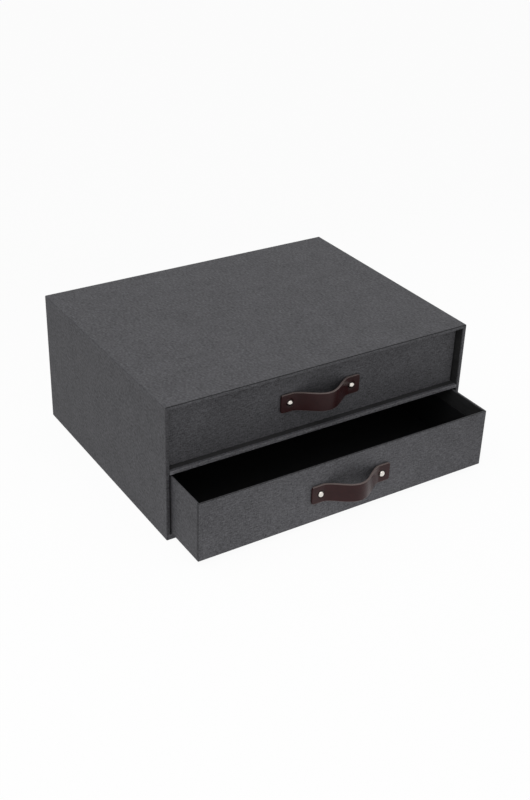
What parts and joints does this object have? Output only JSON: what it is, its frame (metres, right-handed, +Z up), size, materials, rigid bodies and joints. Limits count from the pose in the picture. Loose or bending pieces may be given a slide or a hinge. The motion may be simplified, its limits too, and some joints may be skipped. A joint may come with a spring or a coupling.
{
  "type": "document organizer",
  "caption": "Low board case covered in dark linen-textured paper, with stacked sliding document drawers, each drawn out by a riveted leather strap.",
  "frame": {"origin": "centre of the case's underside, on the surface that the case stands on", "axes": "+X to the right seen from the front, +Y to the closed back, +Z up; the drawers slide out along -Y"},
  "size_m": [0.33, 0.3204, 0.138],
  "materials": {
    "linen_paper_board": "matt, dark grey paper with a fine linen grain, over greyboard",
    "black_lining_paper": "matt black",
    "brown_leather": "smooth dark brown, half matt, with a paler rubbed edge",
    "nickel": "polished nickel plate"
  },
  "bodies": {
    "case": {"case_base": "linen_paper_board", "case_top": "linen_paper_board", "case_left_side": "linen_paper_board", "case_right_side": "linen_paper_board", "case_back": "linen_paper_board", "middle_shelf": "linen_paper_board"},
    "upper_drawer": {"upper_drawer_front": "linen_paper_board", "upper_drawer_back": "linen_paper_board", "upper_drawer_left_side": "linen_paper_board", "upper_drawer_right_side": "linen_paper_board", "upper_drawer_bottom": "linen_paper_board", "upper_drawer_lining": "black_lining_paper", "upper_drawer_strap": "brown_leather", "upper_drawer_left_rivet": "nickel", "upper_drawer_right_rivet": "nickel", "upper_drawer_left_rivet_cap": "nickel", "upper_drawer_right_rivet_cap": "nickel"},
    "lower_drawer": {"lower_drawer_front": "linen_paper_board", "lower_drawer_back": "linen_paper_board", "lower_drawer_left_side": "linen_paper_board", "lower_drawer_right_side": "linen_paper_board", "lower_drawer_bottom": "linen_paper_board", "lower_drawer_lining": "black_lining_paper", "lower_drawer_strap": "brown_leather", "lower_drawer_left_rivet": "nickel", "lower_drawer_right_rivet": "nickel", "lower_drawer_left_rivet_cap": "nickel", "lower_drawer_right_rivet_cap": "nickel"}
  },
  "joints": [
    {"name": "upper_drawer_slide", "type": "slide", "parent": "case", "child": "upper_drawer", "axis": [0, -1, 0], "range_m": [0, 0.2069]},
    {"name": "lower_drawer_slide", "type": "slide", "parent": "case", "child": "lower_drawer", "axis": [0, -1, 0], "range_m": [-0.056, 0.1509]}
  ]
}
